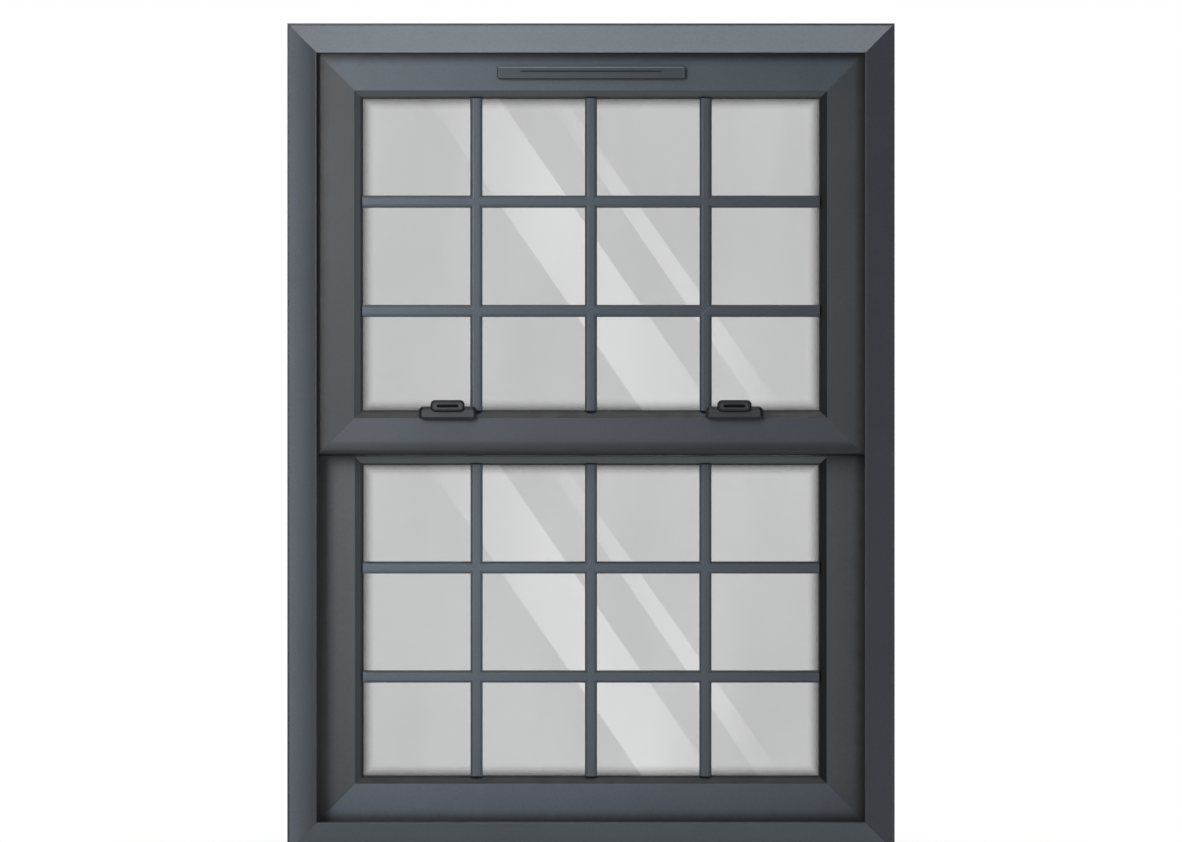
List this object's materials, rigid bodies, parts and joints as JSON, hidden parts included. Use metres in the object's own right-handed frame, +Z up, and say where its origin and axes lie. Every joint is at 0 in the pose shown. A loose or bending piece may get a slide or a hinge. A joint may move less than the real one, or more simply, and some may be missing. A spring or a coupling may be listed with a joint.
{
  "type": "sash window",
  "caption": "Vertical sliding sash window in grey coated aluminium: two glazed sashes with glazing bars in a bevelled frame, sash locks on the meeting rail and a hinged ventilator.",
  "frame": {"origin": "middle of the underside of the sill, half way through the depth of the frame", "axes": "+Z up, +X to the right as seen from the room, +Y from the room side to the outside"},
  "size_m": [0.9, 0.135, 1.228],
  "materials": {
    "frame_coating": "satin anthracite grey powder coat on extruded aluminium",
    "sash_coating": "satin anthracite grey powder coat on extruded aluminium",
    "bead_coating": "satin anthracite grey powder coat, a little darker where it slopes to the glass",
    "bar_coating": "satin anthracite grey powder coat",
    "vent_coating": "satin anthracite grey powder coat with lighter rubbed edges",
    "lock_enamel": "satin dark grey enamel on die-cast metal",
    "lock_steel": "zinc-plated steel",
    "balance_tube": "mill finish tube",
    "balance_rod": "galvanised twisted strip",
    "bare_aluminium": "bare, as sawn",
    "nylon": "black nylon",
    "glass": "clear float glass",
    "spacer": "dull grey spacer bar",
    "gasket": "black glazing rubber",
    "pile": "dark grey woven pile"
  },
  "bodies": {
    "frame": {"frame_head": "frame_coating", "frame_sill": "frame_coating", "frame_jamb_left": "frame_coating", "frame_jamb_right": "frame_coating", "head_cover": "frame_coating", "sill_cover": "frame_coating", "corner_cleats": "bare_aluminium", "upper_balance_tube_left": "balance_tube", "upper_balance_tube_right": "balance_tube", "lower_balance_tube_left": "balance_tube", "lower_balance_tube_right": "balance_tube", "balance_caps": "nylon", "frame_piles": "pile", "stop_blocks": "nylon"},
    "upper_sash": {"upper_top_rail": "sash_coating", "upper_bottom_rail": "sash_coating", "upper_left_stile": "sash_coating", "upper_right_stile": "sash_coating", "upper_bead_top": "bead_coating", "upper_bead_bottom": "bead_coating", "upper_bead_left": "bead_coating", "upper_bead_right": "bead_coating", "upper_inner_pane": "glass", "upper_outer_pane": "glass", "upper_spacer": "spacer", "upper_gaskets": "gasket", "upper_setting_blocks": "nylon", "upper_front_bars": "bar_coating", "upper_rear_bars": "bar_coating", "upper_guides": "nylon", "upper_balance_rods": "balance_rod", "upper_interlock": "sash_coating", "lock_base_left": "lock_enamel", "lock_base_right": "lock_enamel", "vent_base": "vent_coating", "vent_grille": "vent_coating"},
    "lower_sash": {"lower_top_rail": "sash_coating", "lower_bottom_rail": "sash_coating", "lower_left_stile": "sash_coating", "lower_right_stile": "sash_coating", "lower_bead_top": "bead_coating", "lower_bead_bottom": "bead_coating", "lower_bead_left": "bead_coating", "lower_bead_right": "bead_coating", "lower_inner_pane": "glass", "lower_outer_pane": "glass", "lower_spacer": "spacer", "lower_gaskets": "gasket", "lower_setting_blocks": "nylon", "lower_front_bars": "bar_coating", "lower_rear_bars": "bar_coating", "lower_guides": "nylon", "lower_balance_rods": "balance_rod", "lower_interlock": "sash_coating", "lock_keepers": "lock_steel"},
    "lock_slide_left": {"lock_slide_left": "lock_enamel"},
    "lock_slide_right": {"lock_slide_right": "lock_enamel"},
    "lock_bolt_left": {"lock_bolt_left": "lock_steel"},
    "lock_bolt_right": {"lock_bolt_right": "lock_steel"},
    "vent_flap": {"vent_flap": "vent_coating"}
  },
  "joints": [
    {"name": "upper_slide", "type": "slide", "parent": "frame", "child": "upper_sash", "axis": [0, 0, -1], "range_m": [0, 0.48]},
    {"name": "lower_slide", "type": "slide", "parent": "frame", "child": "lower_sash", "axis": [0, 0, 1], "range_m": [0, 0.48]},
    {"name": "lock_grip_left", "type": "slide", "parent": "upper_sash", "child": "lock_slide_left", "axis": [0, 0, -1], "range_m": [0, 0.006]},
    {"name": "lock_grip_right", "type": "slide", "parent": "upper_sash", "child": "lock_slide_right", "axis": [0, 0, -1], "range_m": [0, 0.006]},
    {"name": "lock_throw_left", "type": "slide", "parent": "upper_sash", "child": "lock_bolt_left", "axis": [0, 1, 0], "range_m": [0, 0.006]},
    {"name": "lock_throw_right", "type": "slide", "parent": "upper_sash", "child": "lock_bolt_right", "axis": [0, 1, 0], "range_m": [0, 0.006]},
    {"name": "vent_hinge", "type": "hinge", "parent": "upper_sash", "child": "vent_flap", "pos_m": [0, -0.05, 1.1484], "axis": [1, 0, 0], "range_deg": [0, 35]}
  ],
  "couplings": [
    {"joint": "lock_throw_left", "follows": "lock_grip_left", "ratio": 1},
    {"joint": "lock_throw_right", "follows": "lock_grip_right", "ratio": 1}
  ]
}
